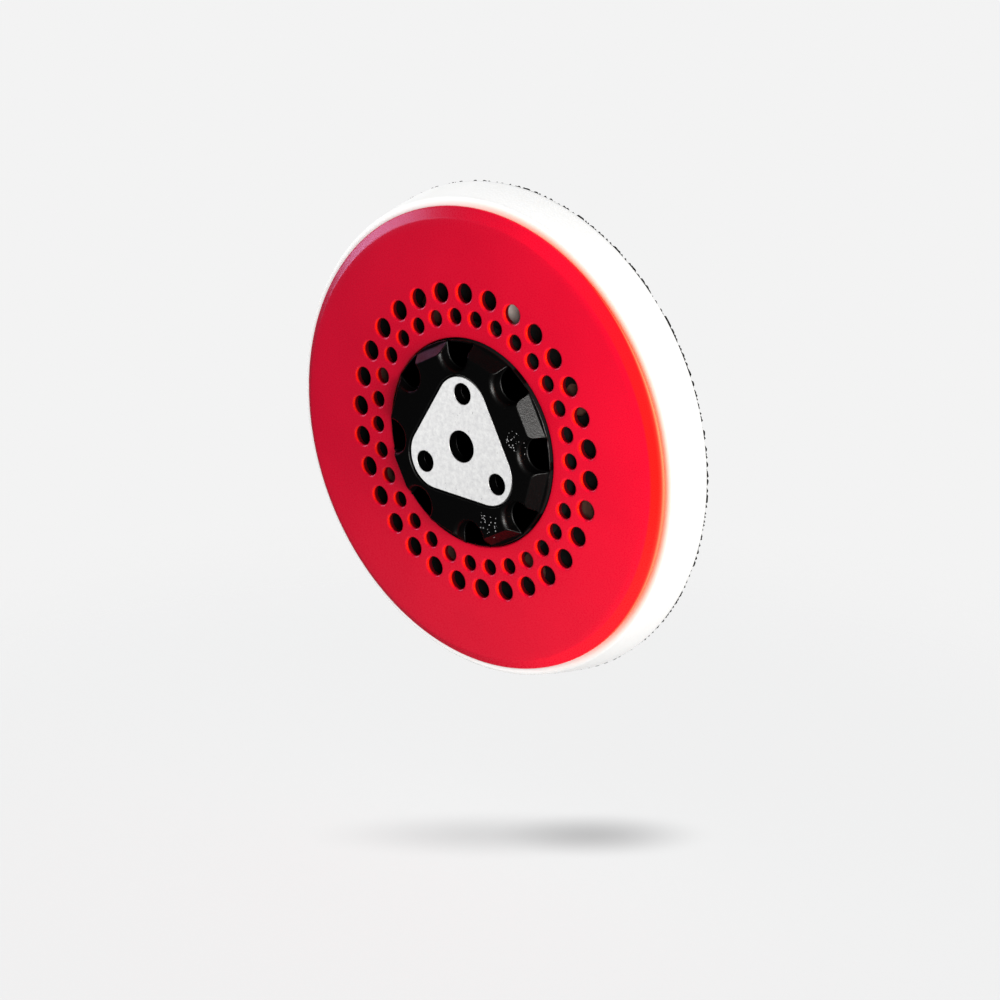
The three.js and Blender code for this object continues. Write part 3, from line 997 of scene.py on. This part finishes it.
def make_pieces():
    adhesive = contact_adhesive()
    strand = nylon_monofilament()
    third = 2 * HOOK_HIGH.x / 3
    return [
        vented_cover(moulded_red_plastic()),
        hub(glass_filled_nylon()),
        drive_plate(blasted_steel()),
        plain_ring("washer_ring", "bolt_seat_washer", WASHER_LOW, WASHER_HIGH, BOLT_HOLE, 0.2 * MM,
                   shaded_washer_steel()),
        air_disc(pressed_fibre()),
        plain_ring("foam_glue_film", "foam_bonding_film", FOAM_FILM_LOW, FOAM_FILM_HIGH,
                   ACCESS_RADIUS, 0.05 * MM, adhesive),
        foam_pad(moulded_foam()),
        hook_glue(adhesive),
        hook_tape(woven_nylon_tape()),
        hook_rows("hooks_lower", strand, -HOOK_HIGH.x, -HOOK_HIGH.x + third),
        hook_rows("hooks_middle", strand, -HOOK_HIGH.x + third, -HOOK_HIGH.x + 2 * third),
        hook_rows("hooks_upper", strand, -HOOK_HIGH.x + 2 * third, HOOK_HIGH.x),
    ]


# ---------------------------------------------------------------------------------------------
# Studio
# ---------------------------------------------------------------------------------------------

CAMERA_AZIMUTH = 41.73
CAMERA_ELEVATION = 19.61
CAMERA_DISTANCE = 1386.5 * MM
CAMERA_LENS = 180
CAMERA_SENSOR = 36
CAMERA_AIM = Vector((0, FOAM_HIGH.y, 0))
CAMERA_AIM_RIGHT = -3.39 * MM
CAMERA_AIM_UP = -19.92 * MM
FLOOR_HEIGHT = -117 * MM
FLOOR_HALF_WIDTH = 1.2
FLOOR_FADE = (0.19, 0.30)
FLOOR_GREY = "#909090"
FLOOR_FILL = 9.45
BACKDROP_GREY = "#F3F3F3"
ROOM_COLOUR = "#F8FAFF"
ROOM_LIGHT = 0.13
ROOM_MIRRORED = 0.03

# Ovals of shade on the floor: centre, half length, half depth, how much they darken.
FLOOR_SHADE = [
    ((7 * MM, 10 * MM), 60 * MM, 19 * MM, 0.22),
    ((27.5 * MM, 28 * MM), 33 * MM, 18 * MM, 0.29),
]

# Softboxes: name, azimuth, elevation, distance, width, height, strength, colour, what they light
# and whether they shine in it.
SOFTBOXES = [
    ("key_right", 62, 10, 0.40, 0.20, 0.20, 12.5, "#FFFDFA", "cover_and_foam", False),
    ("key_shine", 58, 10, 0.40, 0.20, 0.20, 18.0, "#FFFDFA", "dark_and_metal", True),
    ("skim_right", 88, 4, 0.50, 0.12, 0.35, 30.0, "#FF9048", "cover_only", True),
    ("rim_left", -78, 14, 0.60, 0.38, 0.32, 5.0, "#DCC8FF", "cover_only", True),
    ("foam_left", -50, 25, 0.60, 0.40, 0.40, 5.6, "#FFFFFF", "foam_only", True),
    ("plate_glow", -42, -20, 0.50, 0.40, 0.40, 2.0, "#FFFFFF", "plate_only", True),
    ("foam_top", 180, 84, 0.80, 0.60, 0.60, 2.7, "#FFFFFF", "everything", False),
]


def towards(azimuth, elevation):
    """Unit vector from the object to something at an azimuth and elevation in degrees."""
    turn, rise = math.radians(azimuth), math.radians(elevation)
    return Vector((
        math.sin(turn) * math.cos(rise), -math.cos(turn) * math.cos(rise), math.sin(rise),
    ))


def make_camera():
    camera = bpy.data.objects.new("camera", bpy.data.cameras.new("camera"))
    bpy.context.scene.collection.objects.link(camera)
    camera.data.lens = CAMERA_LENS
    camera.data.sensor_width = CAMERA_SENSOR
    back = towards(CAMERA_AZIMUTH, CAMERA_ELEVATION)
    facing = (-back).to_track_quat("-Z", "Y")
    right = facing @ Vector((1, 0, 0))
    up = facing @ Vector((0, 1, 0))
    target = CAMERA_AIM + right * CAMERA_AIM_RIGHT + up * CAMERA_AIM_UP
    camera.location = target + back * CAMERA_DISTANCE
    camera.rotation_mode = "QUATERNION"
    camera.rotation_quaternion = facing
    bpy.context.scene.camera = camera


def place_light(data, direction, distance, lit):
    """Puts a light on one side of the object, shining at it, and only on some pieces."""
    light = bpy.data.objects.new(data.name, data)
    bpy.context.scene.collection.objects.link(light)
    light.location = direction * distance
    light.rotation_mode = "QUATERNION"
    light.rotation_quaternion = direction.to_track_quat("Z", "Y")
    light.light_linking.receiver_collection = lit
    return light


def softbox(name, azimuth, elevation, distance, width, height, strength, colour, lit, shines):
    """Rectangular light, made as strong as its size asks for."""
    data = bpy.data.lights.new(name, "AREA")
    data.shape = "RECTANGLE"
    data.size = width
    data.size_y = height
    data.energy = strength * math.pi * width * height
    data.color = linear(colour)[:3]
    light = place_light(data, towards(azimuth, elevation), distance, lit)
    light.visible_camera = False
    light.visible_glossy = shines


def collection_of(name, objects):
    collection = bpy.data.collections.new(name)
    for item in objects:
        collection.objects.link(item)
    return collection


def make_lights(pieces, floor):
    """Key near the right, whose shine shows on the dark parts only, a warm one that skims the face,
    cool and white ones at the left for the rim and the foam, one overhead, and one low at the left
    that only the plate mirrors."""
    named = {piece.name: piece for piece in pieces}
    cover, foam = named["cover_shell"], named["foam_body"]
    lit = {name: collection_of(name, members) for name, members in (
        ("everything", pieces),
        ("cover_only", [cover]),
        ("foam_only", [foam]),
        ("cover_and_foam", [cover, foam]),
        ("dark_and_metal", [piece for piece in pieces if piece not in (cover, foam)]),
        ("plate_only", [named["drive_plate_insert"]]),
    )}
    for *numbers, receivers, shines in SOFTBOXES:
        softbox(*numbers, lit[receivers], shines)
    sun = bpy.data.lights.new("floor_fill", "SUN")
    sun.energy = FLOOR_FILL
    sun.use_shadow = False
    place_light(sun, Vector((0, 0, 1)), 1.0, collection_of("floor_only", [floor]))


def patch_of_shade(add, place, centre, half_long, half_deep, strength):
    """How dark an oval on the floor is, which lies across the view and is darkest in its middle."""
    oval = add("Mapping", "Vector", {"vector_type": "TEXTURE"}, Vector=place,
               Location=(*centre, FLOOR_HEIGHT), Rotation=(0, 0, math.radians(CAMERA_AZIMUTH)),
               Scale=(half_long, half_deep, 1))
    away = add("VectorMath", "Value", {"operation": "LENGTH"}, input0=oval)
    shade = add("MapRange", "Result", SMOOTH, Value=away, To_Min=1.0, To_Max=0.0)
    return add("MapRange", "Result", Value=shade, To_Min=0.0, To_Max=strength)


def make_floor():
    """Pale floor with a soft oval of shade under the object, fading out into the backdrop."""
    bm = bmesh.new()
    bmesh.ops.create_grid(bm, x_segments=1, y_segments=1, size=FLOOR_HALF_WIDTH)
    bmesh.ops.translate(bm, verts=bm.verts, vec=(0, 0, FLOOR_HEIGHT))
    floor = object_from(bm, "floor")
    material, add, shader, place = new_material("pale_floor")
    tone = linear(FLOOR_GREY)
    for centre, half_long, half_deep, strength in FLOOR_SHADE:
        amount = patch_of_shade(add, place, centre, half_long, half_deep, strength)
        tone = add("Mix", MIXED_COLOUR, OF_COLOURS, input0=amount, input6=tone,
                   input7=(0, 0, 0, 1))
    set_inputs(shader, Base_Color=tone, Roughness=1.0, Specular_IOR_Level=0.0)
    away = add("VectorMath", "Value", {"operation": "LENGTH"}, input0=place)
    fade = add("MapRange", "Result", SMOOTH, Value=away, From_Min=FLOOR_FADE[0],
               From_Max=FLOOR_FADE[1])
    fading = add("MixShader", "Shader", input0=fade, input1=shader.outputs["BSDF"],
                 input2=add("BsdfTransparent", "BSDF"))
    set_inputs(material.node_tree.nodes["Material Output"], Surface=fading)
    floor.data.materials.append(material)
    floor.visible_glossy = False
    return floor


def make_world():
    """Pale backdrop to the eye. To the object it is a dim room, darkest in its reflections."""
    world = bpy.data.worlds.new("studio")
    bpy.context.scene.world = world
    world.use_nodes = True
    nodes = world.node_tree.nodes
    set_inputs(nodes["Background"], Color=linear(ROOM_COLOUR), Strength=ROOM_LIGHT)
    shown = nodes["Background"].outputs["Background"]
    for ray, colour, strength in (
        ("Is Glossy Ray", ROOM_COLOUR, ROOM_MIRRORED), ("Is Camera Ray", BACKDROP_GREY, 1.0),
    ):
        other = add_node(world, "Background", "Background", Color=linear(colour),
                         Strength=strength)
        shown = add_node(world, "MixShader", "Shader", input0=add_node(world, "LightPath", ray),
                         input1=shown, input2=other)
    set_inputs(nodes["World Output"], Surface=shown)


make_camera()
pieces = make_pieces()
for piece in pieces:
    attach(piece, "root")
make_world()
make_lights(pieces, make_floor())
bpy.context.scene.view_settings.view_transform = "Standard"
